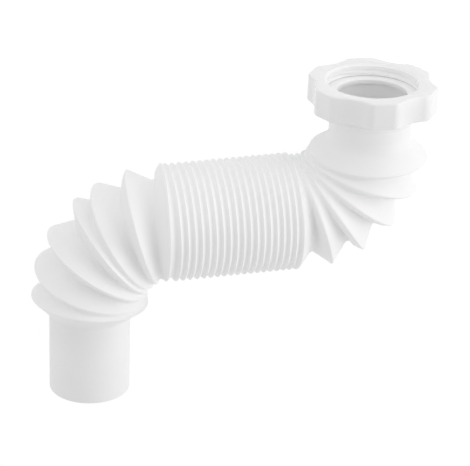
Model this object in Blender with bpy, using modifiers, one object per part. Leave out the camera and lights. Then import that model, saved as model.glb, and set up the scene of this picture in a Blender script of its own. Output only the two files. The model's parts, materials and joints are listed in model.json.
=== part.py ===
"""Flexible waste connector: a blow-moulded bellows hose with a plain spigot and a captive coupling nut.

The hose is one moulding.  Each of its folds has a long cone, which stays stiff, and a short cone, which
snaps between two states: pushed in, so that the fold nests in the one before it, or pulled out.  A fold
that is out on one side only bends the hose.  Here the folds at each end are out on one side, and the
straight run between them is pushed in.  The connector lies on its side, as it would on a bench, with its
length along X and the mouth of the nut towards +Y.
"""

import math
from collections import namedtuple

import bmesh
import bpy
from mathutils import Matrix, Quaternion, Vector

COLLECTION_NAME = "flexible_waste_connector"
CUTTER_COLLECTION_NAME = "flexible_waste_connector_cutters"
MM = 0.001

# Hose: spigot and wall, in millimetres
SPIGOT_OUTER_RADIUS = 20.0
SPIGOT_WALL = 1.6
SPIGOT_LENGTH = 41.9
SPIGOT_EDGE = 0.6
BELLOWS_WALL = 0.6
WALL_TAPER_LENGTH = 2.5
HOSE_SIDES = 24

# Hose: one fold, from ridge to ridge
FOLD_DEPTH = 8.9
LONG_CONE_HEIGHT = 8.4
SHORT_CONE_HEIGHT = 7.6
VALLEY_CUT = 3.0
BULGE_SHARE = 0.5
FOLD_CLEARANCE = 0.15
LONGEST_MITRE_SHARE = 0.45
OPEN_TIP_HALF = 0.4
NESTED_TIP_HALF = 0.6

# Hose: the straight run, pushed in
NESTED_FOLDS = 19
NESTED_PITCH_AT_SPIGOT_END = 3.5
NESTED_PITCH_AT_NUT_END = 3.15

# Hose: the folds that stand open, in order from the spigot.  Each has the lift of its ridge over the
# valley before it, in millimetres, then the tilt of the ridge and the side it leans to, and the tilt of
# the valley after it and the side that leans to, in degrees.
OpenFold = namedtuple("OpenFold", "lift tilt side valley_tilt valley_side")
LOWER_BEND = (
    OpenFold(7.0, 5, 30, 4, -100),
    OpenFold(1.5, 13, -35, 9, -30),
    OpenFold(2.0, 12, 40, 12, -40),
    OpenFold(3.0, 11, 30, 2, -100),
    OpenFold(-0.5, 9, -55, 9, -40),
    OpenFold(2.0, 12, 35, 11, -50),
    OpenFold(2.5, 14, 45, 4, 90),
)
UPPER_BEND = (
    OpenFold(2.6, 16.4, 165, 10.6, 170),
    OpenFold(1.5, 6, 155, 11, 160),
    OpenFold(2.5, 8, 175, 12, 170),
    OpenFold(3.0, 7, 165, 8, 170),
    OpenFold(1.5, 8, 165, 3, 90),
)

# Hose: neck, bead and flange under the nut
NECK_FLARE_CUT = 5.0
NECK_TO_NUT = 15.7
BEAD_PROUD = 0.9
BEAD_HEIGHT = 2.0
BEAD_ROUND = 0.5
FLANGE_WIDTH = 2.0
FLANGE_THICKNESS = 1.8

# Coupling nut
NUT_WALL = 4.3
NUT_LOBE_DEPTH = 1.9
NUT_LOBES = 6
NUT_LOBE_TURN = 11.5
NUT_OUTLINE_POINTS = 72
NUT_HEIGHT = 13.2
NUT_EDGE = 0.7
NUT_FLOOR = 2.4
NUT_THREAD_DEPTH = 1.7
NUT_MOUTH_CHAMFER = 0.5
NUT_BORE_SIDES = 48

# Sealing washer
WASHER_THICKNESS = 2.5
WASHER_OVERHANG = 1.4
WASHER_EDGE = 0.4

# Clearances between the pieces
SEAT_GAP = 0.3
NECK_CLEARANCE = 0.5
FLANGE_CLEARANCE = 0.2
WASHER_CLEARANCE = 0.4

# Radii that follow from the sizes above
BORE_RADIUS = SPIGOT_OUTER_RADIUS - SPIGOT_WALL
VALLEY_RADIUS = SPIGOT_OUTER_RADIUS
RIDGE_RADIUS = VALLEY_RADIUS + FOLD_DEPTH
FLANGE_RADIUS = SPIGOT_OUTER_RADIUS + FLANGE_WIDTH
THREAD_CREST_RADIUS = FLANGE_RADIUS + FLANGE_CLEARANCE
THREAD_ROOT_RADIUS = THREAD_CREST_RADIUS + NUT_THREAD_DEPTH
NUT_MEAN_RADIUS = THREAD_ROOT_RADIUS + NUT_WALL + NUT_LOBE_DEPTH

# How the connector lies on its side, in degrees
LYING_ROLL = 4.6
LYING_PITCH = 6.5

Corner = namedtuple("Corner", "kind ring half_wall")
SPIGOT_AXIS = Vector((0.0, 0.0, 1.0))


def shift(height):
    """A frame moved along the tube's own axis."""
    return Matrix.Translation((0.0, 0.0, height))


def lean(angle, side):
    """A frame turned so that its axis leans by an angle towards one side, both in degrees."""
    direction = math.radians(side)
    axis = Vector((-math.sin(direction), math.cos(direction), 0.0))
    return Quaternion(axis, math.radians(angle)).to_matrix().to_4x4()


def circle(frame, radius, height=0.0):
    """The points of one ring of the hose, all round the axis of a frame."""
    ring = []
    for side in range(HOSE_SIDES):
        angle = 2.0 * math.pi * side / HOSE_SIDES
        point = Vector((radius * math.cos(angle), radius * math.sin(angle), height))
        ring.append(frame @ point)
    return ring


def nested_pitch(number):
    """The step from one pushed-in ridge to the next, which shrinks a little along the run."""
    share = number / (NESTED_FOLDS - 1)
    return NESTED_PITCH_AT_SPIGOT_END + share * (NESTED_PITCH_AT_NUT_END - NESTED_PITCH_AT_SPIGOT_END)


def fold_frames():
    """The frames of every ridge and of the valley after it, and which folds are pushed in."""
    folds = []
    frame = shift(SPIGOT_LENGTH)

    def add_open(bend):
        nonlocal frame
        for fold in bend:
            ridge = frame @ shift(fold.lift) @ lean(fold.tilt, fold.side)
            frame = ridge @ shift(LONG_CONE_HEIGHT) @ lean(fold.valley_tilt, fold.valley_side)
            folds.append((ridge, frame, False))

    add_open(LOWER_BEND)
    for number in range(NESTED_FOLDS):
        ridge = frame @ shift(nested_pitch(number) - LONG_CONE_HEIGHT)
        frame = ridge @ shift(LONG_CONE_HEIGHT)
        folds.append((ridge, frame, True))
    add_open(UPPER_BEND)
    return folds


def short_cone_middle(before, valley, ridge, slant):
    """The middle of a short cone: it swells where the cone is shorter than when it is straight.

    It swells no further than the wall before it leaves room for.
    """
    ring = []
    count = len(valley)
    for side in range(count):
        chord = ridge[side] - valley[side]
        around = (valley[(side + 1) % count] - valley[side - 1]).normalized()
        outward = around.cross(chord.normalized())
        opening = chord.angle(before[side] - valley[side])
        room = chord.length / 2.0 * math.sin(opening) - BELLOWS_WALL - FOLD_CLEARANCE
        swell = max(0.0, min(BULGE_SHARE * (slant - chord.length), room))
        ring.append((valley[side] + ridge[side]) / 2.0 + outward * swell)
    return ring


def neck_flare(ridge, corner, neck):
    """Three rings of the smooth curve from the last long cone into the neck."""
    rings = ([], [], [])
    for side in range(HOSE_SIDES):
        start = corner[side] + (ridge[side] - corner[side]).normalized() * NECK_FLARE_CUT
        end = corner[side] + (neck[side] - corner[side]).normalized() * NECK_FLARE_CUT
        middle = (start + end) / 4.0 + corner[side] / 2.0
        for ring, point in zip(rings, (start, middle, end)):
            ring.append(point)
    return rings


def wall_corners():
    """The middle line of the moulded wall, ring by ring, from the spigot's end to the neck."""
    half = BELLOWS_WALL / 2.0
    spigot_half = SPIGOT_WALL / 2.0
    spigot_middle = SPIGOT_OUTER_RADIUS - spigot_half
    ridge_middle = RIDGE_RADIUS - half
    valley_middle = VALLEY_RADIUS - half
    short_slant = math.hypot(ridge_middle - valley_middle, SHORT_CONE_HEIGHT)
    base = Matrix.Identity(4)

    corners = [
        Corner("bend", circle(base, spigot_middle, SPIGOT_EDGE), spigot_half),
        Corner("bend", circle(base, spigot_middle, SPIGOT_LENGTH - WALL_TAPER_LENGTH), spigot_half),
        Corner("bend", circle(base, SPIGOT_OUTER_RADIUS - half, SPIGOT_LENGTH), half),
    ]
    folds = fold_frames()
    for number, (ridge_frame, valley_frame, nested) in enumerate(folds):
        ridge = circle(ridge_frame, ridge_middle)
        if not nested:
            middle = short_cone_middle(corners[-2].ring, corners[-1].ring, ridge, short_slant)
            corners.append(Corner("bend", middle, half))
        corners.append(Corner("nested ridge" if nested else "open ridge", ridge, half))
        if number + 1 < len(folds):
            kind = "nested valley" if folds[number + 1][2] else "valley"
            corners.append(Corner(kind, circle(valley_frame, valley_middle), half))

    neck_frame = folds[-1][1]
    foot = circle(neck_frame, spigot_middle)
    top = circle(neck_frame, spigot_middle, NECK_TO_NUT)
    for ring, ring_half in zip(neck_flare(corners[-1].ring, foot, top), (half, spigot_half, spigot_half)):
        corners.append(Corner("bend", ring, ring_half))
    return corners, neck_frame


def corner_points(kind, half, here, to_last, to_next, around):
    """The outer and inner points of the wall at one corner of its middle line."""
    back = to_last.normalized()
    ahead = to_next.normalized()
    before = around.cross(-back)
    after = around.cross(ahead)
    if kind == "bend":
        normal = (before + after).normalized()
        reach = half / max(0.5, normal.dot(before))
        return [here + normal * reach], [here - normal * reach]

    opening = back.angle(ahead) / 2.0
    inside = (back + ahead).normalized()
    longest_mitre = LONGEST_MITRE_SHARE * min(to_last.length, to_next.length)
    mitre = min(half / math.sin(opening), longest_mitre)
    if kind in ("open ridge", "nested ridge"):
        tip_half = NESTED_TIP_HALF if kind == "nested ridge" else OPEN_TIP_HALF
        foot = here + inside * (tip_half - half)
        return [foot + before * tip_half, foot + after * tip_half], [here + inside * mitre]
    if kind == "nested valley":
        inner = [here - before * half, here - after * half]
        return [here + inside * mitre], inner

    cut = VALLEY_CUT * math.sin(2.0 * opening)
    depth = mitre + cut * math.cos(opening) - 2.0 * half
    inner_cut = (depth + half * math.sin(opening)) / math.cos(opening)
    outer = [here + inside * mitre + back * cut, here + inside * mitre + ahead * cut]
    inner = [here - before * half + back * inner_cut, here - after * half + ahead * inner_cut]
    return outer, inner


def wall_skins(corners):
    """The outer and inner rings of the wall on each side of its middle line."""
    outer_rings = []
    inner_rings = []
    last = len(corners) - 1
    for number, corner in enumerate(corners):
        outer_set = []
        inner_set = []
        for side in range(HOSE_SIDES):
            here = corner.ring[side]
            around = (corner.ring[(side + 1) % HOSE_SIDES] - corner.ring[side - 1]).normalized()
            if number > 0:
                to_last = corners[number - 1].ring[side] - here
            if number < last:
                to_next = corners[number + 1].ring[side] - here
            if number == 0:
                to_last = -SPIGOT_AXIS
            if number == last:
                to_next = -to_last
            outer, inner = corner_points(corner.kind, corner.half_wall, here, to_last, to_next, around)
            outer_set.append(outer)
            inner_set.append(inner)
        outer_rings.extend(list(ring) for ring in zip(*outer_set))
        inner_rings.extend(list(ring) for ring in zip(*inner_set))
    return outer_rings, inner_rings


def hose_rings():
    """All rings of the hose's surface, up its outside and back down its bore, and the neck's frame."""
    corners, neck_frame = wall_corners()
    outer, inner = wall_skins(corners)
    radius = SPIGOT_OUTER_RADIUS
    base = Matrix.Identity(4)
    outer.insert(0, circle(base, radius - SPIGOT_EDGE))
    inner.insert(0, circle(base, BORE_RADIUS))
    bead_top = NECK_TO_NUT - SEAT_GAP
    bead_foot = bead_top - BEAD_HEIGHT
    flange_foot = NECK_TO_NUT + NUT_FLOOR + SEAT_GAP
    flange_top = flange_foot + FLANGE_THICKNESS
    outer.append(circle(neck_frame, radius, bead_foot))
    outer.append(circle(neck_frame, radius + BEAD_PROUD, bead_foot + BEAD_ROUND))
    outer.append(circle(neck_frame, radius + BEAD_PROUD, bead_top - BEAD_ROUND))
    outer.append(circle(neck_frame, radius, bead_top))
    outer.append(circle(neck_frame, radius, flange_foot))
    outer.append(circle(neck_frame, FLANGE_RADIUS, flange_foot))
    outer.append(circle(neck_frame, FLANGE_RADIUS, flange_top))
    inner.append(circle(neck_frame, BORE_RADIUS, flange_top))
    return outer + inner[::-1], neck_frame


def loft_object(name, rings, collection):
    """One closed surface through rings that follow each other in a loop."""
    mesh = bpy.data.meshes.new(name)
    shape = bmesh.new()
    rows = [[shape.verts.new(point * MM) for point in ring] for ring in rings]
    count = len(rings[0])
    for number, row in enumerate(rows):
        following = rows[(number + 1) % len(rows)]
        for side in range(count):
            beside = (side + 1) % count
            shape.faces.new((row[side], row[beside], following[beside], following[side]))
    bmesh.ops.triangulate(shape, faces=shape.faces[:], quad_method="SHORT_EDGE")
    bmesh.ops.recalc_face_normals(shape, faces=shape.faces[:])
    shape.to_mesh(mesh)
    shape.free()
    piece = bpy.data.objects.new(name, mesh)
    collection.objects.link(piece)
    mesh.shade_smooth()
    mesh.set_sharp_from_angle(angle=math.radians(35))
    return piece


def turned_object(name, profile, sides, collection):
    """A closed profile of (radius, height) points, turned round Z by a Screw modifier."""
    mesh = bpy.data.meshes.new(name)
    points = [(radius * MM, 0.0, height * MM) for radius, height in profile]
    edges = [(number, (number + 1) % len(points)) for number in range(len(points))]
    mesh.from_pydata(points, edges, [])
    piece = bpy.data.objects.new(name, mesh)
    collection.objects.link(piece)
    screw = piece.modifiers.new("turn", "SCREW")
    screw.axis = "Z"
    screw.angle = 2.0 * math.pi
    screw.steps = sides
    screw.render_steps = sides
    screw.use_merge_vertices = True
    screw.merge_threshold = 0.00001
    screw.use_normal_calculate = True
    return piece


def nut_outline():
    """The lobed outline of the nut, seen along its axis."""
    points = []
    for number in range(NUT_OUTLINE_POINTS):
        angle = 2.0 * math.pi * number / NUT_OUTLINE_POINTS
        turn = angle - math.radians(NUT_LOBE_TURN)
        radius = NUT_MEAN_RADIUS + NUT_LOBE_DEPTH * math.cos(NUT_LOBES * turn)
        points.append((radius * math.cos(angle), radius * math.sin(angle)))
    return points


def nut_blank(collection):
    """The solid lobed body of the nut, before it is bored, with its foot at the origin."""
    curve = bpy.data.curves.new("coupling_nut", "CURVE")
    curve.dimensions = "2D"
    curve.fill_mode = "BOTH"
    curve.extrude = NUT_HEIGHT / 2.0 * MM
    outline = nut_outline()
    spline = curve.splines.new("POLY")
    spline.points.add(len(outline) - 1)
    for point, (x, y) in zip(spline.points, outline):
        point.co = (x * MM, y * MM, 0.0, 1.0)
    spline.use_cyclic_u = True
    flat = bpy.data.objects.new("nut_outline", curve)
    collection.objects.link(flat)
    bpy.context.view_layer.update()
    mesh = bpy.data.meshes.new_from_object(flat.evaluated_get(bpy.context.evaluated_depsgraph_get()))
    mesh.transform(Matrix.Translation((0.0, 0.0, NUT_HEIGHT / 2.0 * MM)))
    shape = bmesh.new()
    shape.from_mesh(mesh)
    bmesh.ops.remove_doubles(shape, verts=shape.verts[:], dist=0.00001)
    bmesh.ops.dissolve_limit(shape, angle_limit=0.001, verts=shape.verts[:], edges=shape.edges[:])
    bmesh.ops.recalc_face_normals(shape, faces=shape.faces[:])
    shape.to_mesh(mesh)
    shape.free()
    bpy.data.objects.remove(flat)
    piece = bpy.data.objects.new("coupling_nut", mesh)
    collection.objects.link(piece)
    return piece


def make_nut(collection, cutters):
    """The coupling nut: a lobed blank with rounded edges, bored for the neck, flange and thread."""
    nut = nut_blank(collection)
    edge = nut.modifiers.new("edge", "BEVEL")
    edge.width = NUT_EDGE * MM
    edge.segments = 2
    edge.limit_method = "ANGLE"
    edge.angle_limit = math.radians(60)

    neck_hole = SPIGOT_OUTER_RADIUS + NECK_CLEARANCE
    relief_top = NUT_FLOOR + SEAT_GAP + FLANGE_THICKNESS + SEAT_GAP + WASHER_THICKNESS
    thread_foot = relief_top + THREAD_ROOT_RADIUS - THREAD_CREST_RADIUS
    overrun = 1.0
    bore = (
        (0.0, NUT_HEIGHT + overrun),
        (THREAD_CREST_RADIUS + NUT_MOUTH_CHAMFER + overrun, NUT_HEIGHT + overrun),
        (THREAD_CREST_RADIUS, NUT_HEIGHT - NUT_MOUTH_CHAMFER),
        (THREAD_CREST_RADIUS, thread_foot),
        (THREAD_ROOT_RADIUS, relief_top),
        (THREAD_ROOT_RADIUS, NUT_FLOOR),
        (neck_hole, NUT_FLOOR),
        (neck_hole, -overrun),
        (0.0, -overrun),
    )
    cutter = turned_object("nut_bore", bore, NUT_BORE_SIDES, cutters)
    cutter.parent = nut
    cutter.hide_render = True
    cutter.display_type = "WIRE"
    cut = nut.modifiers.new("bore", "BOOLEAN")
    cut.operation = "DIFFERENCE"
    cut.solver = "EXACT"
    cut.object = cutter
    return nut


def make_washer(collection):
    """The flat sealing washer, which lies on the flange inside the nut."""
    outer = THREAD_ROOT_RADIUS - WASHER_CLEARANCE
    inner = BORE_RADIUS - WASHER_OVERHANG
    profile = (
        (outer - WASHER_EDGE, WASHER_THICKNESS),
        (outer, WASHER_THICKNESS - WASHER_EDGE),
        (outer, WASHER_EDGE),
        (outer - WASHER_EDGE, 0.0),
        (inner + WASHER_EDGE, 0.0),
        (inner, WASHER_EDGE),
        (inner, WASHER_THICKNESS - WASHER_EDGE),
        (inner + WASHER_EDGE, WASHER_THICKNESS),
    )
    return turned_object("sealing_washer", profile, NUT_BORE_SIDES, collection)


def plastic(name, colour, roughness):
    """A plain moulded plastic."""
    material = bpy.data.materials.new(name)
    material.use_nodes = True
    shader = material.node_tree.nodes["Principled BSDF"]
    shader.inputs["Base Color"].default_value = (*colour, 1.0)
    shader.inputs["Roughness"].default_value = roughness
    shader.inputs["Metallic"].default_value = 0.0
    return material


def world_corners(pieces):
    """The lowest and highest corners of the evaluated pieces, together."""
    bpy.context.view_layer.update()
    graph = bpy.context.evaluated_depsgraph_get()
    points = []
    for piece in pieces:
        solid = piece.evaluated_get(graph)
        points.extend(solid.matrix_world @ vertex.co for vertex in solid.data.vertices)
    low = Vector(min(point[axis] for point in points) for axis in range(3))
    high = Vector(max(point[axis] for point in points) for axis in range(3))
    return low, high


def clear_scene():
    """Remove what the scene holds, objects and collections."""
    for item in list(bpy.data.objects):
        bpy.data.objects.remove(item, do_unlink=True)
    for group in list(bpy.data.collections):
        bpy.data.collections.remove(group)


def new_collection(name):
    """A collection of that name in the scene."""
    group = bpy.data.collections.new(name)
    bpy.context.scene.collection.children.link(group)
    return group


def build():
    """Make the connector and lay it on its side with its lowest point on the ground."""
    clear_scene()
    parts = new_collection(COLLECTION_NAME)
    cutters = new_collection(CUTTER_COLLECTION_NAME)
    lying = bpy.data.objects.new("lying_connector", None)
    parts.objects.link(lying)

    rings, neck_frame = hose_rings()
    hose = loft_object("hose", rings, parts)
    nut = make_nut(parts, cutters)
    washer = make_washer(parts)
    hose.data.materials.append(plastic("satin white polypropylene", (0.80, 0.80, 0.80), 0.45))
    nut.data.materials.append(plastic("glossy white polypropylene", (0.82, 0.82, 0.82), 0.22))
    washer.data.materials.append(plastic("pale washer", (0.72, 0.72, 0.72), 0.6))

    washer_foot = NECK_TO_NUT + NUT_FLOOR + SEAT_GAP + FLANGE_THICKNESS + SEAT_GAP
    scale_down = Matrix.Diagonal((MM, MM, MM, 1.0))
    scale_up = scale_down.inverted()
    hose.parent = lying
    nut.parent = lying
    washer.parent = lying
    nut.matrix_local = scale_down @ neck_frame @ shift(NECK_TO_NUT) @ scale_up
    washer.matrix_local = scale_down @ neck_frame @ shift(washer_foot) @ scale_up

    along_y = Matrix.Rotation(math.radians(-90), 4, "X")
    roll = Matrix.Rotation(math.radians(LYING_ROLL), 4, "X")
    pitch = Matrix.Rotation(math.radians(LYING_PITCH), 4, "Y")
    lying.matrix_world = pitch @ roll @ along_y
    low, high = world_corners((hose, nut, washer))
    centre = (low + high) / 2.0
    lying.matrix_world = Matrix.Translation((-centre.x, -centre.y, -low.z)) @ lying.matrix_world
    bpy.context.view_layer.update()


build()
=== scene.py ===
"""Flexible waste connector: the finished look of a bellows hose and its captive coupling nut.

The hose is one blow moulding whose folds are closed in the straight run and stand open in both
bends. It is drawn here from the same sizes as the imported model, with rounded ridges, swelling
short cones and filleted valleys, and with a shallow groove where a fold is closed. The nut gets
its screw thread and softened edges, and the washer its moulded rim.
"""

import json
import math
from collections import namedtuple
from types import SimpleNamespace

import bmesh
import bpy
from mathutils import Matrix, Quaternion, Vector


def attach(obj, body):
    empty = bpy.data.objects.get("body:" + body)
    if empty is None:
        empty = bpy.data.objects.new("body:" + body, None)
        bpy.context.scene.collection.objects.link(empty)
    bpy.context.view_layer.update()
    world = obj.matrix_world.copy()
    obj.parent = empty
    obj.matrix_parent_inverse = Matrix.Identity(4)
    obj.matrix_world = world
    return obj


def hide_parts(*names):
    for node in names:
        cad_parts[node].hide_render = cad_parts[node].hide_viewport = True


bl_info = {
    "name": "Flexible Waste Connector",
    "version": (1, 0, 0),
    "blender": (4, 5, 0),
    "location": "View3D > Sidebar > Connector",
    "description": "Builds a bellows waste connector with its coupling nut, washer and studio",
    "category": "Add Mesh",
}

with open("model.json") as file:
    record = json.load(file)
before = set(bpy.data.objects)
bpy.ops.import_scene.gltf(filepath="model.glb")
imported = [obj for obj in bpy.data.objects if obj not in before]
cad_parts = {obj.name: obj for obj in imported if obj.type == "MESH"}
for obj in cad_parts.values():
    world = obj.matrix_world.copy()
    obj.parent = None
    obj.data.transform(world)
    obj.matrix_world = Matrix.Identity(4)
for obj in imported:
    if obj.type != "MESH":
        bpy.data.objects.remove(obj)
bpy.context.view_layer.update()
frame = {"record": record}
RECORD = frame["record"]

MM = 0.001

# How the connector lies on the floor, in degrees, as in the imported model
LYING_ROLL = 4.6
LYING_PITCH = 6.5

# The mount's point lies on the spigot's end ring, this far out from the bore, in millimetres
MOUNT_OFF_BORE = 0.5

# The folds that stand open: the lift of the ridge over the valley before it in millimetres, the
# tilt of the ridge and the side it leans to, then the tilt of the valley after it and its side, in
# degrees
OpenFold = namedtuple("OpenFold", "lift tilt side valley_tilt valley_side")
LOWER_BEND = (
    OpenFold(7.0, 5, 30, 4, -100),
    OpenFold(1.5, 13, -35, 9, -30),
    OpenFold(2.0, 12, 40, 12, -40),
    OpenFold(3.0, 11, 30, 2, -100),
    OpenFold(-0.5, 9, -55, 9, -40),
    OpenFold(2.0, 12, 35, 11, -50),
    OpenFold(2.5, 14, 45, 4, 90),
)
UPPER_BEND = (
    OpenFold(2.6, 16.4, 165, 10.6, 170),
    OpenFold(1.5, 6, 155, 11, 160),
    OpenFold(2.5, 8, 175, 12, 170),
    OpenFold(3.0, 7, 165, 8, 170),
    OpenFold(1.5, 8, 165, 3, 90),
)
NESTED_FOLDS = 19

# One stop of the hose's middle line: how its wall is drawn there, its ring of points and half its
# wall
Corner = namedtuple("Corner", "kind ring half_wall")

# Where along a short cone its swelling rings lie, and how many steps make a fillet and the flare
SWELL_STEPS = (0.5, 0.75)
FILLET_STEPS = 6
FLARE_STEPS = 8

# The greatest share of a cone that the mitre and the fillet of a valley may take, the least that
# a bend's normal may lean along the wall, and the least radius inside a ridge, in millimetres
MITRE_LIMIT = 0.45
FILLET_LIMIT = 0.8
BEND_LIMIT = 0.5
LEAST_INSIDE = 0.05

# Below 1, this power makes the closed grooves fuller than a plain wave
GROOVE_POWER = 0.72

# The middle of a small rounded edge, as a share of its rounding
EDGE_MIDDLE = 0.3

# The nut's lobes, and the faces round it, up its thread and round the washer
LOBES = 6
NUT_SIDES = 360
THREAD_RINGS = 44
WASHER_SIDES = 128

# The nut's mouth, in millimetres: how much wider it is than the thread, how deep it reaches, and
# how far below it the thread has run out
MOUTH_WIDER = 0.9
MOUTH_DEPTH = 0.9
THREAD_BELOW_TOP = 2.4

# The thread: the angle and the height in millimetres at which a groove begins, the shares of the
# pitch under its two flanks, how steep the flanks are and how wide the crest is, how deep the
# groove is beside the full depth, and the millimetres over which it runs out at its foot and top
THREAD_ANGLE = math.radians(76.0)
THREAD_HEIGHT = 8.9
THREAD_FLANKS = (0.78, 0.22)
THREAD_STEEPNESS = 1.6
THREAD_CREST = 0.3
THREAD_DEPTH = 0.45
THREAD_RUN_OUT = (0.4, 0.8)

# The turns, in degrees, over which the nut's outline is averaged to round its corners
NUT_ROUNDING = (-3.6, -2.4, -1.2, 0.0, 1.2, 2.4, 3.6)

# Edges of a mesh that bend more than this are drawn sharp
SHARP_ANGLE = math.radians(42)

# A moulded finish: its roughness, how much darker the clouds in its colour are, the scale of its
# grain, and the height of the grain in metres
Finish = namedtuple("Finish", "roughness cloud grain grain_height")
HOSE_FINISH = Finish(0.46, 0.025, 900.0, 0.00005)
HOSE_BORE_FINISH = Finish(0.5, 0.01, 900.0, 0.00005)
NUT_FINISH = Finish(0.2, 0.02, 500.0, 0.00002)
NUT_BORE_FINISH = Finish(0.3, 0.01, 500.0, 0.00002)
WASHER_FINISH = Finish(0.55, 0.05, 700.0, 0.00006)

# What the finishes share: the scale and detail of the clouds and of the uneven sheen, the detail
# and roughness of the grain, where the clouds' noise turns from dark to pale, how far the sheen
# strays to each side, the strength of the grain and the refraction of the plastic
CLOUD_NOISE = (38.0, 3.0)
SHEEN_NOISE = (120.0, 4.0)
GRAIN_NOISE = (5.0, 0.6)
CLOUD_EDGES = (0.35, 0.65)
SHEEN_SPREAD = (-0.04, 0.05)
GRAIN_STRENGTH = 0.5
PLASTIC_IOR = 1.49

# The sockets of a Mix node that carry colours: its two inputs and its output
COLOUR_A = 6
COLOUR_B = 7
COLOUR_OUT = 2

# Where along Y the spigot's deeper colour, painted shade, begins to fade and where it has gone, in
# metres
SPIGOT_PAINTED_SHADE_FADE = (-0.044, -0.034)

# The floor, in metres, and the glow that makes it white to the camera
FLOOR_HALF = 3.0
FLOOR_DROP = 0.0005
FLOOR_GLOW = 1.05
FLOOR_GLOW_SHARE = 0.88

# How the sky's strength changes along X, Y and Z, and how much weaker it is on the spigot's side
SKY_SLOPE = (0.10, 0.05, -0.50)
SKY_DIMMING = 0.15

# The two lights, in metres, and how often light is thrown on inside the pale folds and the bore
LIGHT_TARGET = Vector((0.0, 0.0, 0.03))
KEY_PLACE = (1.10, 0.12, 0.65)
KEY_SIZE = 0.9
FILL_PLACE = (-0.9, 0.3, 0.5)
FILL_SIZE = 0.5
LIGHT_BOUNCES = 24

# The photograph's camera, in metres, and its lens and sensor in millimetres
CAMERA_PLACE = Vector((-0.12437, 0.40663, 1.09419))
CAMERA_TARGET = Vector((0.00251, 0.00135, 0.02979))
CAMERA_UP = Vector((0.029522, 0.935305, -0.352608))
CAMERA_LENS = 178.5
CAMERA_SENSOR = 36.0


def length(name, millimetres, description):
    """A size that a user may change, written here in millimetres."""
    return bpy.props.FloatProperty(
        name=name,
        description=description,
        default=millimetres * MM,
        min=0.0,
        unit="LENGTH",
        precision=5,
    )


def share(name, value, description):
    """A share of something else that a user may change."""
    return bpy.props.FloatProperty(
        name=name,
        description=description,
        default=value,
        min=0.0,
        max=1.0,
        subtype="FACTOR",
    )


def angle(name, degrees, description):
    """An angle that a user may change, written here in degrees."""
    return bpy.props.FloatProperty(
        name=name,
        description=description,
        default=math.radians(degrees),
        subtype="ANGLE",
    )


def colour(name, value, description):
    """A colour that a user may change."""
    return bpy.props.FloatVectorProperty(
        name=name,
        description=description,
        default=value,
        subtype="COLOR",
        size=3,
        min=0.0,
        max=1.0,
    )


class ConnectorHoseSettings(bpy.types.PropertyGroup):
    """Sizes and colour of the bellows hose."""

    spigot_radius: length("Spigot radius", 20.0, "Outer radius of the plain spigot")
    spigot_wall: length("Spigot wall", 1.6, "Wall of the spigot and of the neck")
    spigot_length: length("Spigot length", 41.9, "From the spigot's end to the first fold")
    spigot_edge: length("Spigot edge", 0.6, "Rounding of the spigot's end")
    bellows_wall: length("Bellows wall", 0.6, "Wall of the folds")
    wall_taper: length("Wall taper", 2.5, "Length over which the spigot's wall thins")
    ridge_radius: length("Ridge radius", 28.9, "Outer radius of the ridges")
    valley_radius: length("Valley radius", 20.0, "Outer radius at the corner of the valleys")
    long_cone: length("Long cone height", 8.4, "From a ridge to the valley after it")
    short_cone: length("Short cone height", 7.6, "Height of a short cone that is out")
    bulge_share: share(
        "Short cone swell", 0.5, "Share of its spare length by which a short cone swells"
    )
    fold_clearance: length("Fold clearance", 0.15, "Least gap between the walls of a closed fold")
    open_round: length("Open ridge rounding", 0.6, "Outer rounding of the open ridges")
    groove_depth: length("Closed groove depth", 1.3, "Depth of the groove where a fold is closed")
    groove_lean: share(
        "Deeper grooves", 0.6, "Share by which the grooves are deeper on the spigot's side"
    )
    groove_share: share(
        "Closed groove share", 0.36, "Greatest depth of that groove beside its width"
    )
    closed_spacing: length(
        "Closed spacing", 4.6, "Distance of ridges up to which a fold is closed"
    )
    open_spacing: length(
        "Open spacing", 13.0, "Distance of ridges from which a fold is fully open"
    )
    long_arm: length(
        "Valley fillet, long cone", 3.6, "Reach of the valley's fillet up the long cone"
    )
    short_arm: length("Valley fillet, short cone", 2.4, "Reach of the fillet up the short cone")
    first_pitch: length(
        "First nested pitch", 3.5, "Step of the nested ridges at the spigot's side"
    )
    last_pitch: length("Last nested pitch", 3.15, "Step of the nested ridges at the nut's side")
    flare_cut: length("Neck flare", 3.8, "Reach of the curve between the last cone and the neck")
    neck_to_nut: length("Neck length", 15.7, "From the last valley to the nut")
    bead_proud: length("Bead height", 0.9, "How far the bead under the nut stands out")
    bead_width: length("Bead width", 2.0, "Width of the bead under the nut")
    band_proud: length("Band height", 0.6, "How far the low band round the neck stands out")
    band_width: length("Band width", 1.9, "Width of the low band round the neck")
    band_drop: length("Band drop", 5.9, "From the nut down to the foot of that band")
    flange_radius: length("Flange radius", 22.0, "Radius of the end flange inside the nut")
    flange_thickness: length("Flange thickness", 1.8, "Thickness of the end flange")
    sides: bpy.props.IntProperty(
        name="Sides", description="Faces round the hose", default=108, min=24
    )
    tint: colour("Plastic", (0.945, 0.945, 0.95), "Colour of the satin polypropylene")
    # Painted shade: the spigot is the same moulding as the folds, and this deeper copy of their
    # colour paints its thick wall's darker look
    spigot_tint_with_painted_shade: colour(
        "Spigot", (0.905, 0.905, 0.91), "Colour of the spigot, whose wall is thicker"
    )
    # Painted light: the bore is the same plastic as the outside, and this paler copy of its colour
    # paints the light that comes through the thin wall
    bore_tint_with_painted_light: colour(
        "Bore", (0.99, 0.99, 0.99), "Colour of the bore, kept pale by light through the wall"
    )


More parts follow.
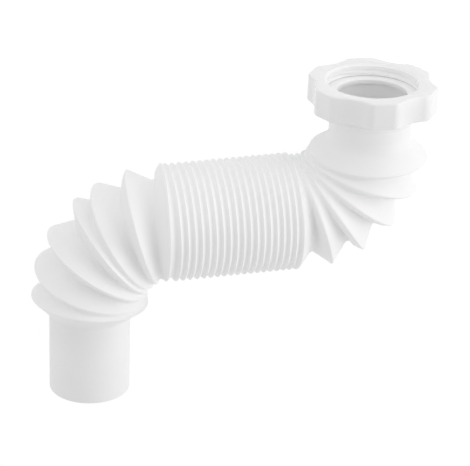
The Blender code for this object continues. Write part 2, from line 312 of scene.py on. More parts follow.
class ConnectorNutSettings(bpy.types.PropertyGroup):
    """Sizes and colour of the coupling nut."""

    mean_radius: length("Mean radius", 30.1, "Middle between the lobes' tips and feet")
    lobe_depth: length("Lobe depth", 1.9, "How far a lobe stands out from the middle")
    crown_half: angle("Half crown", 11.9, "Half the angle of a lobe's flat crown")
    lobe_turn: angle("Lobe turn", 11.5, "Turn of the first lobe")
    height: length("Height", 13.2, "Height of the nut")
    edge: length("Edge rounding", 0.8, "Rounding of the nut's outer edges")
    floor: length("Floor", 2.4, "Thickness of the floor that the flange lies on")
    root_radius: length("Thread root radius", 23.9, "Radius at the bottom of the thread")
    crest_radius: length("Thread crest radius", 22.2, "Radius at the top of the thread")
    pitch: length("Thread pitch", 3.4, "Distance between neighbouring threads")
    starts: bpy.props.IntProperty(
        name="Starts", description="Number of threads side by side", default=3, min=1
    )
    neck_clearance: length("Neck clearance", 0.5, "Gap between the nut's floor and the neck")
    tint: colour("Plastic", (0.90, 0.90, 0.905), "Colour of the glossy polypropylene")
    # Painted light: the threaded bore is the same plastic as the nut's outside, and this paler
    # copy of its colour paints the light that comes through the wall
    bore_tint_with_painted_light: colour("Thread", (0.985, 0.985, 0.985), "Colour of the threaded bore with painted light")


class ConnectorWasherSettings(bpy.types.PropertyGroup):
    """Sizes and colour of the sealing washer."""

    thickness: length("Thickness", 2.5, "Thickness of the washer")
    inner_radius: length("Inner radius", 17.0, "Radius of the washer's hole")
    clearance: length("Clearance", 0.4, "Gap between the washer and the nut's bore")
    edge: length("Edge rounding", 0.4, "Rounding of the washer's edges")
    seat_gap: length("Seat gap", 0.3, "Gap between pieces that lie on each other")
    tint: colour("Washer", (0.96, 0.96, 0.96), "Colour of the washer")


class ConnectorStudioSettings(bpy.types.PropertyGroup):
    """Colours and strengths of the studio."""

    floor_tint: colour("Floor", (0.93, 0.93, 0.93), "Colour of the floor")
    key_power: bpy.props.FloatProperty(
        name="Key light",
        description="Power of the large light",
        default=2.8,
        min=0.0,
        unit="POWER",
    )
    fill_power: bpy.props.FloatProperty(
        name="Fill light",
        description="Power of the light from the left",
        default=0.2,
        min=0.0,
        unit="POWER",
    )
    ambient: bpy.props.FloatProperty(
        name="Ambient", description="Strength of the world's light", default=1.19, min=0.0
    )


def in_millimetres(group):
    """The values of a group of settings, with its sizes in millimetres."""
    values = {}
    for name in group.__annotations__:
        value = getattr(group, name)
        if group.bl_rna.properties[name].unit == "LENGTH":
            value = round(value / MM, 4)
        values[name] = value
    return SimpleNamespace(**values)


def all_sizes(scene):
    """The settings of the hose, the nut and the washer, with their sizes in millimetres."""
    groups = (scene.connector_hose, scene.connector_nut, scene.connector_washer)
    return [in_millimetres(group) for group in groups]


def shift(height):
    """A frame moved along the tube's own axis, in millimetres."""
    return Matrix.Translation((0.0, 0.0, height))


def lean(tilt, side):
    """A frame turned so that its axis leans towards one side; both angles are in degrees."""
    direction = math.radians(side)
    axis = Vector((-math.sin(direction), math.cos(direction), 0.0))
    return Quaternion(axis, math.radians(tilt)).to_matrix().to_4x4()


def lying_turn():
    """The turn from the hose's own frame, spigot up along Z, to the way it lies."""
    along_y = Matrix.Rotation(math.radians(-90), 4, "X")
    roll = Matrix.Rotation(math.radians(LYING_ROLL), 4, "X")
    pitch = Matrix.Rotation(math.radians(LYING_PITCH), 4, "Y")
    return pitch @ roll @ along_y


def hose_place(settings):
    """The matrix from the hose's own frame in millimetres to the model's frame in metres."""
    turn = lying_turn()
    mount = next(item for item in RECORD["mounts"] if item["name"] == "spigot_end")
    on_ring = settings.spigot_radius - settings.spigot_wall + MOUNT_OFF_BORE
    off_axis = turn @ Vector((0.0, -on_ring * MM, 0.0))
    return Matrix.Translation(Vector(mount["pos_m"]) - off_axis) @ turn @ Matrix.Scale(MM, 4)


def nested_pitch(settings, number):
    """The step from one nested ridge to the next, which shrinks a little along the run."""
    part = number / (NESTED_FOLDS - 1)
    return settings.first_pitch + part * (settings.last_pitch - settings.first_pitch)


def fold_frames(settings):
    """The frames of every ridge and of the valley after it, and which folds are nested."""
    folds = []
    here = shift(settings.spigot_length)
    for fold in LOWER_BEND:
        ridge = here @ shift(fold.lift) @ lean(fold.tilt, fold.side)
        here = ridge @ shift(settings.long_cone) @ lean(fold.valley_tilt, fold.valley_side)
        folds.append((ridge, here, False))
    for number in range(NESTED_FOLDS):
        ridge = here @ shift(nested_pitch(settings, number) - settings.long_cone)
        here = ridge @ shift(settings.long_cone)
        folds.append((ridge, here, True))
    for fold in UPPER_BEND:
        ridge = here @ shift(fold.lift) @ lean(fold.tilt, fold.side)
        here = ridge @ shift(settings.long_cone) @ lean(fold.valley_tilt, fold.valley_side)
        folds.append((ridge, here, False))
    return folds


def circle(place, radius, height, sides):
    """The points of one ring, all round the axis of a frame."""
    ring = []
    for side in range(sides):
        turn = 2.0 * math.pi * side / sides
        ring.append(place @ Vector((radius * math.cos(turn), radius * math.sin(turn), height)))
    return ring


def around_ring(ring, side):
    """The direction along a ring at one of its points."""
    return (ring[(side + 1) % len(ring)] - ring[side - 1]).normalized()


def swelling_cone(before, valley, ridge, slant, settings):
    """Rings of a short cone, which swells where it is shorter than straight and where the wall
    before it leaves room."""
    rings = []
    wall = settings.bellows_wall + settings.fold_clearance
    for step in SWELL_STEPS:
        ring = []
        for side in range(len(valley)):
            chord = ridge[side] - valley[side]
            outward = around_ring(valley, side).cross(chord.normalized())
            opening = chord.angle(before[side] - valley[side])
            room = chord.length / 2.0 * math.sin(opening) - wall
            swell = max(0.0, min(settings.bulge_share * (slant - chord.length), room))
            ring.append(valley[side] + chord * step + outward * swell * 4.0 * step * (1.0 - step))
        rings.append(ring)
    return rings


def wall_corners(settings):
    """The middle line of the moulded wall, ring by ring, from the spigot to the neck's foot."""
    sides = settings.sides
    half = settings.bellows_wall / 2.0
    spigot_half = settings.spigot_wall / 2.0
    spigot_middle = settings.spigot_radius - spigot_half
    ridge_middle = settings.ridge_radius - half
    valley_middle = settings.valley_radius - half
    slant = math.hypot(ridge_middle - valley_middle, settings.short_cone)
    base = Matrix.Identity(4)
    taper_foot = settings.spigot_length - settings.wall_taper
    taper_top = circle(base, settings.spigot_radius - half, settings.spigot_length, sides)
    corners = [
        Corner("bend", circle(base, spigot_middle, settings.spigot_edge, sides), spigot_half),
        Corner("bend", circle(base, spigot_middle, taper_foot * 0.5, sides), spigot_half),
        Corner("bend", circle(base, spigot_middle, taper_foot, sides), spigot_half),
        Corner("joint", taper_top, half),
    ]
    folds = fold_frames(settings)
    for number, (ridge_frame, valley_frame, nested) in enumerate(folds):
        ridge = circle(ridge_frame, ridge_middle, 0.0, sides)
        if not nested:
            before, valley = corners[-2].ring, corners[-1].ring
            for ring in swelling_cone(before, valley, ridge, slant, settings):
                corners.append(Corner("bend", ring, half))
        corners.append(Corner("ridge", ridge, half))
        if number + 1 < len(folds):
            valley = circle(valley_frame, valley_middle, 0.0, sides)
            corners.append(Corner("valley", valley, half))
    neck_frame = folds[-1][1]
    foot = circle(neck_frame, spigot_middle, 0.0, sides)
    top = circle(neck_frame, spigot_middle, settings.neck_to_nut, sides)
    ridge = corners[-1].ring
    for step in range(FLARE_STEPS + 1):
        part = step / FLARE_STEPS
        ring = []
        for side in range(sides):
            to_ridge = (ridge[side] - foot[side]).normalized()
            to_top = (top[side] - foot[side]).normalized()
            start = foot[side] + to_ridge * settings.flare_cut
            end = foot[side] + to_top * settings.flare_cut
            near = start.lerp(foot[side], part)
            far = foot[side].lerp(end, part)
            ring.append(near.lerp(far, part))
        # The wall grows to the neck's over the first two thirds of the flare
        corners.append(Corner("bend", ring, half + (spigot_half - half) * min(1.0, part * 1.5)))
    return corners, neck_frame


def rounded_tip(here, before, after, inside, half, radius):
    """Outer and inner points of the wall round a ridge, whose tip stays at the sharp ridge."""
    tip = here - inside * half
    middle = tip + inside * radius
    ways = [before, before.slerp(-inside, 0.5), -inside, (-inside).slerp(after, 0.5), after]
    inner_radius = max(LEAST_INSIDE, radius - 2.0 * half)
    outer = [middle + way * radius for way in ways]
    inner = [middle + way * inner_radius for way in (before, -inside, after)]
    return outer, inner


def fold_opening(settings, spacing):
    """How far a fold is open where its ridges are a distance apart, from 0, closed, to 1, open."""
    part = (spacing - settings.closed_spacing) / (settings.open_spacing - settings.closed_spacing)
    part = max(0.0, min(1.0, part))
    return part * part * (3.0 - 2.0 * part)


def closed_groove(settings, start, end, inward, count):
    """Points of the shallow groove that shows between two ridges where their fold is closed."""
    chord = end - start
    down = (inward - chord * (inward.dot(chord) / chord.length_squared)).normalized()
    depth = min(settings.groove_depth, settings.groove_share * chord.length)
    depth *= 1.0 + settings.groove_lean * max(0.0, down.z)
    points = []
    for number in range(count):
        part = (number + 1) / (count + 1)
        drop = (0.5 - 0.5 * math.cos(2.0 * math.pi * part)) ** GROOVE_POWER
        points.append(start + chord * part + down * depth * drop)
    return points


def filleted_valley(here, before, after, back, ahead, half, arms, reaches):
    """Outer and inner points of the wall in the curved bottom of a valley."""
    opening = back.angle(ahead) / 2.0
    inside = (back + ahead).normalized()
    mitre = min(half / math.sin(opening), MITRE_LIMIT * min(reaches))
    corner = here + inside * mitre
    width = math.sin(min(2.0 * opening, math.pi / 2.0))
    start = corner + back * min(arms[0] * width, FILLET_LIMIT * reaches[0])
    end = corner + ahead * min(arms[1] * width, FILLET_LIMIT * reaches[1])
    outer = []
    inner = []
    for step in range(FILLET_STEPS + 1):
        part = step / FILLET_STEPS
        point = start.lerp(corner, part).lerp(corner.lerp(end, part), part)
        outer.append(point)
        if step % 2 == 0:
            inner.append(point - before.lerp(after, part).normalized() * 2.0 * half)
    return outer, inner


def corner_points(settings, corner, here, to_last, to_next, around):
    """The outer and inner points of the wall at one corner of its middle line."""
    half = corner.half_wall
    back = to_last.normalized()
    ahead = to_next.normalized()
    before = around.cross(-back)
    after = around.cross(ahead)
    reaches = (to_last.length, to_next.length)
    if corner.kind == "bend":
        normal = (before + after).normalized()
        reach = half / max(BEND_LIMIT, normal.dot(before))
        return [here + normal * reach], [here - normal * reach]
    if corner.kind == "joint":
        return filleted_valley(here, before, after, back, ahead, half, (1.0, 1.0), reaches)
    inside = (back + ahead).normalized()
    if corner.kind == "ridge":
        return rounded_tip(here, before, after, inside, half, settings.open_round)
    arms = (settings.long_arm, settings.short_arm)
    return filleted_valley(here, before, after, back, ahead, half, arms, reaches)


def wall_skins(settings, corners):
    """The outer and the inner rings of the moulded wall, made line by line along the hose."""
    outer_lines = []
    inner_lines = []
    last = len(corners) - 1
    downward = Vector((0.0, 0.0, -1.0))
    ridges = [corner.ring for corner in corners if corner.kind == "ridge"]
    centres = [sum(ring, Vector()) / settings.sides for ring in ridges]
    for side in range(settings.sides):
        outer = []
        inner = []
        crests = []
        for number, corner in enumerate(corners):
            here = corner.ring[side]
            around = around_ring(corner.ring, side)
            to_last = corners[number - 1].ring[side] - here if number > 0 else downward
            to_next = corners[number + 1].ring[side] - here if number < last else -to_last
            skin, lining = corner_points(settings, corner, here, to_last, to_next, around)
            if corner.kind == "ridge":
                crests.append(len(outer) + len(skin) // 2)
            outer.extend(skin)
            inner.extend(lining)
        for number, (start, end) in enumerate(zip(crests, crests[1:])):
            opening = fold_opening(settings, (outer[end] - outer[start]).length)
            inward = centres[number] - outer[start] + centres[number + 1] - outer[end]
            count = end - start - 1
            groove = closed_groove(settings, outer[start], outer[end], inward, count)
            for step, point in enumerate(groove, start + 1):
                outer[step] = point.lerp(outer[step], opening)
        outer_lines.append(outer)
        inner_lines.append(inner)
    outer_rings = [list(ring) for ring in zip(*outer_lines)]
    inner_rings = [list(ring) for ring in zip(*inner_lines)]
    return outer_rings, inner_rings


def hose_rings(settings, nut, washer):
    """The rings of the hose up its outside, and those back down its bore."""
    sides = settings.sides
    corners, neck = wall_corners(settings)
    outer, inner = wall_skins(settings, corners)
    base = Matrix.Identity(4)
    radius = settings.spigot_radius
    bore = radius - settings.spigot_wall
    edge = settings.spigot_edge

    # The end of the spigot, from its bore round to its outside
    lip = [
        circle(base, bore + edge * EDGE_MIDDLE, edge * EDGE_MIDDLE, sides),
        circle(base, bore + edge, 0.0, sides),
        circle(base, radius - edge, 0.0, sides),
        circle(base, radius - edge * EDGE_MIDDLE, edge * EDGE_MIDDLE, sides),
    ]

    # The neck above the flare: the low band, the bead under the nut and the flange inside the nut.
    # Each point is a radius and a height, and the small numbers ease the edges, in millimetres.
    band = radius + settings.band_proud
    band_foot = settings.neck_to_nut - settings.band_drop
    band_top = band_foot + settings.band_width
    proud = radius + settings.bead_proud
    bead_top = settings.neck_to_nut - washer.seat_gap
    bead_foot = bead_top - settings.bead_width
    flange_foot = settings.neck_to_nut + nut.floor + washer.seat_gap
    flange_top = flange_foot + settings.flange_thickness
    profile = (
        (radius, band_foot - 0.25),
        (band - 0.25, band_foot),
        (band, band_foot + 0.3),
        (band, band_top - 0.3),
        (band - 0.25, band_top),
        (radius, band_top + 0.25),
        (radius, bead_foot - 0.5),
        (radius + 0.15, bead_foot - 0.05),
        (proud - 0.35, bead_foot + 0.05),
        (proud - 0.1, bead_foot + 0.2),
        (proud, bead_foot + 0.5),
        (proud, bead_top - 0.4),
        (proud - 0.12, bead_top - 0.12),
        (proud - 0.4, bead_top),
        (radius, bead_top),
        (radius, flange_foot),
        (settings.flange_radius - 0.3, flange_foot),
        (settings.flange_radius, flange_foot + 0.3),
        (settings.flange_radius, flange_top - 0.3),
        (settings.flange_radius - 0.3, flange_top),
        (bore + 0.4, flange_top),
        (bore + 0.12, flange_top - 0.12),
        (bore, flange_top - 0.4),
    )
    for across, up in profile:
        outer.append(circle(neck, across, up, sides))
    return lip + outer, inner[::-1]


def mesh_from_rings(name, rings):
    """A closed mesh through rings that follow each other, the last joined to the first."""
    mesh = bpy.data.meshes.new(name)
    shape = bmesh.new()
    rows = [[shape.verts.new(point) for point in ring] for ring in rings]
    count = len(rings[0])
    for number, row in enumerate(rows):
        following = rows[(number + 1) % len(rows)]
        for side in range(count):
            beside = (side + 1) % count
            shape.faces.new((row[side], row[beside], following[beside], following[side]))
    bmesh.ops.recalc_face_normals(shape, faces=shape.faces[:])
    shape.to_mesh(mesh)
    shape.free()
    mesh.shade_smooth()
    mesh.set_sharp_from_angle(angle=SHARP_ANGLE)
    return mesh


def line_bore(mesh, material, first_face):
    """Give the faces of the bore, which come last in the mesh, their own material: a paler lining,
    painted light.
    """
    mesh.materials.append(material)
    for face in mesh.polygons[first_face:]:
        face.material_index = 1


def add_piece(name, mesh, material, node, body):
    """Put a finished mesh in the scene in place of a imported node, riding on its body."""
    piece = bpy.data.objects.new(name, mesh)
    bpy.context.scene.collection.objects.link(piece)
    mesh.materials.append(material)
    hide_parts(node)
    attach(piece, body)


def new_material(name):
    """A material with its nodes, its links and its main shader."""
    material = bpy.data.materials.new(name)
    material.use_nodes = True
    tree = material.node_tree
    return material, tree.nodes, tree.links, tree.nodes["Principled BSDF"]


def math_node(tree, operation, *values):
    """The result of a Math node whose inputs are other nodes' sockets or plain numbers."""
    node = tree.nodes.new("ShaderNodeMath")
    node.operation = operation
    for socket, value in zip(node.inputs, values):
        if isinstance(value, bpy.types.NodeSocket):
            tree.links.new(value, socket)
        else:
            socket.default_value = value
    return node.outputs["Value"]


def noise(nodes, links, vector, scale, detail, roughness=0.5):
    """A noise texture over the piece's own coordinates."""
    texture = nodes.new("ShaderNodeTexNoise")
    texture.inputs["Scale"].default_value = scale
    texture.inputs["Detail"].default_value = detail
    texture.inputs["Roughness"].default_value = roughness
    links.new(vector, texture.inputs["Vector"])
    return texture.outputs["Fac"]


def mapped(nodes, links, value, low, high):
    """A texture's middle range, spread between two values."""
    spread = nodes.new("ShaderNodeMapRange")
    spread.inputs["From Min"].default_value = 0.3
    spread.inputs["From Max"].default_value = 0.7
    spread.inputs["To Min"].default_value = low
    spread.inputs["To Max"].default_value = high
    links.new(value, spread.inputs["Value"])
    return spread.outputs["Result"]


def moulded_plastic(name, tint, finish):
    """Moulded plastic: faint clouds in the white, an uneven sheen and the grain of the mould."""
    material, nodes, links, shader = new_material(name)
    place = nodes.new("ShaderNodeTexCoord").outputs["Object"]
    clouds = noise(nodes, links, place, *CLOUD_NOISE)
    ramp = nodes.new("ShaderNodeValToRGB")
    dark = [channel * (1.0 - finish.cloud) for channel in tint]
    stops = ramp.color_ramp.elements
    for stop, position, shade in zip(stops, CLOUD_EDGES, (dark, tint)):
        stop.position = position
        stop.color = (*shade, 1.0)
    links.new(clouds, ramp.inputs["Fac"])
    links.new(ramp.outputs["Color"], shader.inputs["Base Color"])

    sheen = noise(nodes, links, place, *SHEEN_NOISE)
    low, high = [finish.roughness + stray for stray in SHEEN_SPREAD]
    links.new(mapped(nodes, links, sheen, low, high), shader.inputs["Roughness"])

    fine = noise(nodes, links, place, finish.grain, *GRAIN_NOISE)
    bump = nodes.new("ShaderNodeBump")
    bump.inputs["Strength"].default_value = GRAIN_STRENGTH
    bump.inputs["Distance"].default_value = finish.grain_height
    links.new(fine, bump.inputs["Height"])
    links.new(bump.outputs["Normal"], shader.inputs["Normal"])
    shader.inputs["IOR"].default_value = PLASTIC_IOR
    return material, shader


def paint_shade_on_spigot(material, spigot_tint_with_painted_shade, tint):
    """Paint shade on the spigot: its thick wall gets the plastic's colour a little deeper than the
    thin folds.
    """
    nodes, links = material.node_tree.nodes, material.node_tree.links
    shader = nodes["Principled BSDF"]
    clouds = shader.inputs["Base Color"].links[0].from_socket
    parts = nodes.new("ShaderNodeSeparateXYZ")
    links.new(nodes.new("ShaderNodeTexCoord").outputs["Object"], parts.inputs["Vector"])
    along = nodes.new("ShaderNodeMapRange")
    along.inputs["From Min"].default_value = SPIGOT_PAINTED_SHADE_FADE[0]
    along.inputs["From Max"].default_value = SPIGOT_PAINTED_SHADE_FADE[1]
    links.new(parts.outputs["Y"], along.inputs["Value"])
    painted_shade_ratio = [low / high for low, high in zip(spigot_tint_with_painted_shade, tint)]
    blend = nodes.new("ShaderNodeMix")
    blend.data_type = "RGBA"
    links.new(along.outputs["Result"], blend.inputs["Factor"])
    blend.inputs[COLOUR_A].default_value = (*painted_shade_ratio, 1.0)
    blend.inputs[COLOUR_B].default_value = (1.0, 1.0, 1.0, 1.0)
    deeper = nodes.new("ShaderNodeMix")
    deeper.data_type = "RGBA"
    deeper.blend_type = "MULTIPLY"
    deeper.inputs["Factor"].default_value = 1.0
    links.new(clouds, deeper.inputs[COLOUR_A])
    links.new(blend.outputs[COLOUR_OUT], deeper.inputs[COLOUR_B])
    links.new(deeper.outputs[COLOUR_OUT], shader.inputs["Base Color"])


class CONNECTOR_OT_hose(bpy.types.Operator):
    """Build the bellows hose"""

    bl_idname = "connector.add_hose"
    bl_label = "Bellows hose"

    def execute(self, context):
        settings, nut, washer = all_sizes(context.scene)
        outside, bore = hose_rings(settings, nut, washer)
        place = hose_place(settings)
        rings = [[place @ point for point in ring] for ring in outside + bore]
        mesh = mesh_from_rings("bellows_hose", rings)
        material, _ = moulded_plastic("satin white polypropylene", settings.tint, HOSE_FINISH)
        # Painted shade: the spigot gets a deeper copy of the plastic's colour
        paint_shade_on_spigot(material, settings.spigot_tint_with_painted_shade, settings.tint)
        add_piece("bellows_hose", mesh, material, "hose", "hose_body")
        # Painted light: the bore's lining is a paler copy of the plastic, for the light through
        # the wall
        lining, _ = moulded_plastic("hose bore with painted light", settings.bore_tint_with_painted_light, HOSE_BORE_FINISH)
        line_bore(mesh, lining, len(outside) * settings.sides)
        return {"FINISHED"}


def sharp_nut_radius(settings, turn):
    """The radius of the nut's outline with sharp corners: flat crowns and round hollows."""
    tip = settings.mean_radius + settings.lobe_depth
    foot = settings.mean_radius - settings.lobe_depth
    step = 2.0 * math.pi / LOBES
    crown = abs((turn - settings.lobe_turn + step / 2.0) % step - step / 2.0)
    if crown < settings.crown_half:
        return tip * math.cos(settings.crown_half) / math.cos(crown)
    widest = step / 2.0 - settings.crown_half
    hollow = step / 2.0 - crown
    centre = (tip * tip - foot * foot) / (2.0 * (tip * math.cos(widest) - foot))
    reach = centre - foot
    return centre * math.cos(hollow) - math.sqrt(reach * reach - (centre * math.sin(hollow)) ** 2)


def nut_radius(settings, turn):
    """The radius of the nut's lobed outline at an angle, with its corners rounded."""
    around = [sharp_nut_radius(settings, turn + math.radians(side)) for side in NUT_ROUNDING]
    return sum(around) / len(around)


def thread_radius(settings, height, turn, foot, top):
    """The bore's radius at a height, with a right-hand thread between its foot and its top."""
    begun = settings.starts * (turn - THREAD_ANGLE) / (2.0 * math.pi)
    phase = ((height - THREAD_HEIGHT) / settings.pitch - begun) % 1.0
    under = min(phase / THREAD_FLANKS[0], (1.0 - phase) / THREAD_FLANKS[1])
    groove = max(0.0, min(1.0, under * THREAD_STEEPNESS - THREAD_CREST))
    run_in = (height - foot) / THREAD_RUN_OUT[0]
    run_out = (top - height) / THREAD_RUN_OUT[1]
    fade = max(0.0, min(1.0, run_in, run_out))
    depth = settings.root_radius - settings.crest_radius
    return settings.crest_radius + depth * THREAD_DEPTH * groove * fade


def uneven_ring(place, radius_at, height):
    """The points of one ring of the nut, whose radius may change round it."""
    ring = []
    for number in range(NUT_SIDES):
        turn = 2.0 * math.pi * number / NUT_SIDES
        radius = radius_at(turn)
        ring.append(place @ Vector((radius * math.cos(turn), radius * math.sin(turn), height)))
    return ring


def nut_outside(settings, place):
    """The rings up the nut's lobed outside, with rounded edges at its foot and at its top."""
    edge = settings.edge
    eased = [math.pi / 8.0 * part for part in range(5)]
    levels = [(edge * (1.0 - math.sin(bend)), edge * (1.0 - math.cos(bend))) for bend in eased]
    for bend in eased:
        inset = edge * (1.0 - math.cos(bend))
        levels.append((inset, settings.height - edge * (1.0 - math.sin(bend))))
    rings = []
    for inset, height in levels:
        rings.append(uneven_ring(place, lambda turn: nut_radius(settings, turn) - inset, height))
    return rings


def nut_inside(settings, hose, washer, place):
    """The rings down the nut's inside: its mouth, the thread, the relief, and the neck's hole."""
    top = settings.height
    mouth = settings.crest_radius + MOUTH_WIDER
    mouth_foot = top - MOUTH_DEPTH
    flange_top = settings.floor + washer.seat_gap + hose.flange_thickness + washer.seat_gap
    relief_top = flange_top + washer.thickness + 0.1
    thread_foot = relief_top + 0.1
    thread_top = top - THREAD_BELOW_TOP
    neck_hole = hose.spigot_radius + settings.neck_clearance

    # Each pair is a radius and a height, and the small numbers ease the edges, in millimetres
    above = [(mouth + 0.35, top), (mouth + 0.1, top - 0.1), (mouth, top - 0.35)]
    below = [
        (settings.root_radius, relief_top),
        (settings.root_radius, settings.floor),
        (neck_hole + 0.2, settings.floor),
        (neck_hole, settings.floor - 0.2),
        (neck_hole, 0.3),
        (neck_hole + 0.3, 0.0),
    ]
    rings = [uneven_ring(place, lambda turn: radius, height) for radius, height in above]
    for step in range(THREAD_RINGS + 1):
        height = mouth_foot - (mouth_foot - thread_foot) * step / THREAD_RINGS
        rings.append(
            uneven_ring(
                place,
                lambda turn: thread_radius(settings, height, turn, thread_foot, thread_top),
                height,
            )
        )
    rings += [uneven_ring(place, lambda turn: radius, height) for radius, height in below]
    return rings


class CONNECTOR_OT_nut(bpy.types.Operator):
    """Build the coupling nut with its screw thread"""

    bl_idname = "connector.add_nut"
    bl_label = "Coupling nut"

    def execute(self, context):
        hose, settings, washer = all_sizes(context.scene)
        neck = fold_frames(hose)[-1][1]
        place = hose_place(hose) @ neck @ shift(hose.neck_to_nut)
        outside = nut_outside(settings, place)
        inside = nut_inside(settings, hose, washer, place)
        mesh = mesh_from_rings("coupling_nut_finished", outside + inside)
        material, shader = moulded_plastic("glossy white polypropylene", settings.tint, NUT_FINISH)
        shader.inputs["Subsurface Weight"].default_value = 0.1
        shader.inputs["Subsurface Radius"].default_value = (1.0, 1.0, 1.0)
        shader.inputs["Subsurface Scale"].default_value = 0.003
        shader.inputs["Coat Weight"].default_value = 0.2
        shader.inputs["Coat Roughness"].default_value = 0.12
        add_piece("coupling_nut_finished", mesh, material, "coupling_nut", "nut_body")
        # Painted light: the threaded bore gets a paler copy of the nut's colour
        lining, _ = moulded_plastic("threaded bore with painted light", settings.bore_tint_with_painted_light, NUT_BORE_FINISH)
        line_bore(mesh, lining, len(outside) * NUT_SIDES)
        return {"FINISHED"}


class CONNECTOR_OT_washer(bpy.types.Operator):
    """Build the flat sealing washer"""

    bl_idname = "connector.add_washer"
    bl_label = "Sealing washer"

    def execute(self, context):
        hose, nut, settings = all_sizes(context.scene)
        neck = fold_frames(hose)[-1][1]
        foot = hose.neck_to_nut + nut.floor + hose.flange_thickness + 2.0 * settings.seat_gap
        place = hose_place(hose) @ neck @ shift(foot)
        outer = nut.root_radius - settings.clearance
        inner = settings.inner_radius
        edge = settings.edge
        middle = edge * EDGE_MIDDLE
        top = settings.thickness
        profile = (
            (inner + edge, 0.0),
            (outer - edge, 0.0),
            (outer - middle, middle),
            (outer, edge),
            (outer, top - edge),
            (outer - middle, top - middle),
            (outer - edge, top),
            (inner + edge, top),
            (inner + middle, top - middle),
            (inner, top - edge),
            (inner, edge),
            (inner + middle, middle),
        )
        rings = [circle(place, radius, height, WASHER_SIDES) for radius, height in profile]
        name = "sealing_washer_finished"
        mesh = mesh_from_rings(name, rings)
        material, _ = moulded_plastic("pale washer", settings.tint, WASHER_FINISH)
        add_piece(name, mesh, material, "sealing_washer", "hose_body")
        return {"FINISHED"}


def studio_floor_material(tint):
    """A pale floor that shows white to the camera and in reflections, and keeps a soft shadow."""
    material, nodes, links, shader = new_material("pale studio floor")
    shader.inputs["Base Color"].default_value = (*tint, 1.0)
    shader.inputs["Roughness"].default_value = 0.9
    glow = nodes.new("ShaderNodeEmission")
    glow.inputs["Color"].default_value = (1.0, 1.0, 1.0, 1.0)
    glow.inputs["Strength"].default_value = FLOOR_GLOW
    tree = material.node_tree
    rays = nodes.new("ShaderNodeLightPath").outputs
    seen = math_node(tree, "MAXIMUM", rays["Is Camera Ray"], rays["Is Glossy Ray"])
    clear = math_node(tree, "MAXIMUM", seen, rays["Is Transmission Ray"])
    mix = nodes.new("ShaderNodeMixShader")
    links.new(math_node(tree, "MULTIPLY", clear, FLOOR_GLOW_SHARE), mix.inputs["Fac"])
    links.new(shader.outputs["BSDF"], mix.inputs[1])
    links.new(glow.outputs["Emission"], mix.inputs[2])
    links.new(mix.outputs["Shader"], nodes["Material Output"].inputs["Surface"])
    return material


def soft_sky(tree, strength):
    """White light from all round, weaker from above than from the sides, and weaker again from the
    side that the spigot's end faces."""
    nodes, links = tree.nodes, tree.links
    background = nodes["Background"]
    background.inputs["Color"].default_value = (1.0, 1.0, 1.0, 1.0)
    way = nodes.new("ShaderNodeTexCoord").outputs["Generated"]
    towards = nodes.new("ShaderNodeVectorMath")
    towards.operation = "DOT_PRODUCT"
    towards.inputs[1].default_value = SKY_SLOPE
    links.new(way, towards.inputs[0])
    parts = nodes.new("ShaderNodeSeparateXYZ")
    links.new(way, parts.inputs["Vector"])
    level = math_node(tree, "ADD", towards.outputs["Value"], 1.0)
    spigot_side = math_node(tree, "MINIMUM", parts.outputs["Y"], 0.0)
    dimmed = math_node(tree, "MULTIPLY_ADD", spigot_side, SKY_DIMMING, level)
    links.new(math_node(tree, "MULTIPLY", dimmed, strength), background.inputs["Strength"])


def area_light(name, place, target, size, power):
    """A soft square light that looks at a point."""
    data = bpy.data.lights.new(name, "AREA")
    data.energy = power
    data.size = size
    lamp = bpy.data.objects.new(name, data)
    bpy.context.scene.collection.objects.link(lamp)
    lamp.location = place
    lamp.rotation_euler = (target - Vector(place)).to_track_quat("-Z", "Y").to_euler()


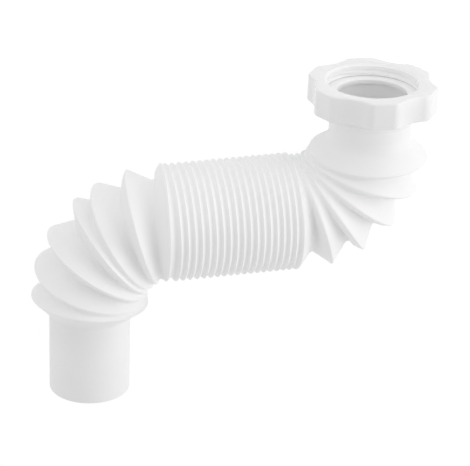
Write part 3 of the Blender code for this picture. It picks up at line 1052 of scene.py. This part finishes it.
class CONNECTOR_OT_studio(bpy.types.Operator):
    """Build the floor, the lights, the world and the camera"""

    bl_idname = "connector.add_studio"
    bl_label = "Studio"

    def execute(self, context):
        settings = context.scene.connector_studio
        scene = context.scene
        scene.view_settings.view_transform = "Standard"
        scene.cycles.diffuse_bounces = LIGHT_BOUNCES
        scene.cycles.max_bounces = LIGHT_BOUNCES

        half = FLOOR_HALF
        mesh = bpy.data.meshes.new("studio_floor")
        corners = [(-half, -half, 0.0), (half, -half, 0.0), (half, half, 0.0), (-half, half, 0.0)]
        mesh.from_pydata(corners, [], [(0, 1, 2, 3)])
        mesh.materials.append(studio_floor_material(tuple(settings.floor_tint)))
        floor = bpy.data.objects.new("studio_floor", mesh)
        scene.collection.objects.link(floor)
        floor.location.z = -FLOOR_DROP

        world = scene.world or bpy.data.worlds.new("studio")
        scene.world = world
        world.use_nodes = True
        soft_sky(world.node_tree, settings.ambient)

        area_light("key_light", KEY_PLACE, LIGHT_TARGET, KEY_SIZE, settings.key_power)
        area_light("fill_light", FILL_PLACE, LIGHT_TARGET, FILL_SIZE, settings.fill_power)

        data = bpy.data.cameras.new("photo_camera")
        data.lens = CAMERA_LENS
        data.sensor_width = CAMERA_SENSOR
        camera = bpy.data.objects.new("photo_camera", data)
        scene.collection.objects.link(camera)
        back = (CAMERA_PLACE - CAMERA_TARGET).normalized()
        right = CAMERA_UP.cross(back).normalized()
        up = back.cross(right)
        turn = Matrix((right, up, back)).transposed().to_4x4()
        camera.matrix_world = Matrix.Translation(CAMERA_PLACE) @ turn
        scene.camera = camera
        return {"FINISHED"}


class CONNECTOR_PT_panel(bpy.types.Panel):
    """The connector's sizes, colours and build buttons"""

    bl_label = "Flexible waste connector"
    bl_idname = "CONNECTOR_PT_panel"
    bl_space_type = "VIEW_3D"
    bl_region_type = "UI"
    bl_category = "Connector"

    def draw(self, context):
        scene = context.scene
        groups = (
            (scene.connector_hose, CONNECTOR_OT_hose),
            (scene.connector_nut, CONNECTOR_OT_nut),
            (scene.connector_washer, CONNECTOR_OT_washer),
            (scene.connector_studio, CONNECTOR_OT_studio),
        )
        for settings, operator in groups:
            box = self.layout.box()
            box.operator(operator.bl_idname)
            for name in settings.__annotations__:
                box.prop(settings, name)


SETTINGS = (
    ("connector_hose", ConnectorHoseSettings),
    ("connector_nut", ConnectorNutSettings),
    ("connector_washer", ConnectorWasherSettings),
    ("connector_studio", ConnectorStudioSettings),
)
CLASSES = (
    CONNECTOR_OT_hose,
    CONNECTOR_OT_nut,
    CONNECTOR_OT_washer,
    CONNECTOR_OT_studio,
    CONNECTOR_PT_panel,
)


def register():
    """Register the settings, the operators and the panel."""
    for name, group in SETTINGS:
        bpy.utils.register_class(group)
        setattr(bpy.types.Scene, name, bpy.props.PointerProperty(type=group))
    for item in CLASSES:
        bpy.utils.register_class(item)


def unregister():
    """Take away what register added."""
    for item in reversed(CLASSES):
        bpy.utils.unregister_class(item)
    for name, group in reversed(SETTINGS):
        delattr(bpy.types.Scene, name)
        bpy.utils.unregister_class(group)


def main():
    """Build every piece and the studio."""
    register()
    bpy.ops.connector.add_studio()
    bpy.ops.connector.add_hose()
    bpy.ops.connector.add_nut()
    bpy.ops.connector.add_washer()


if __name__ == "__main__":
    main()
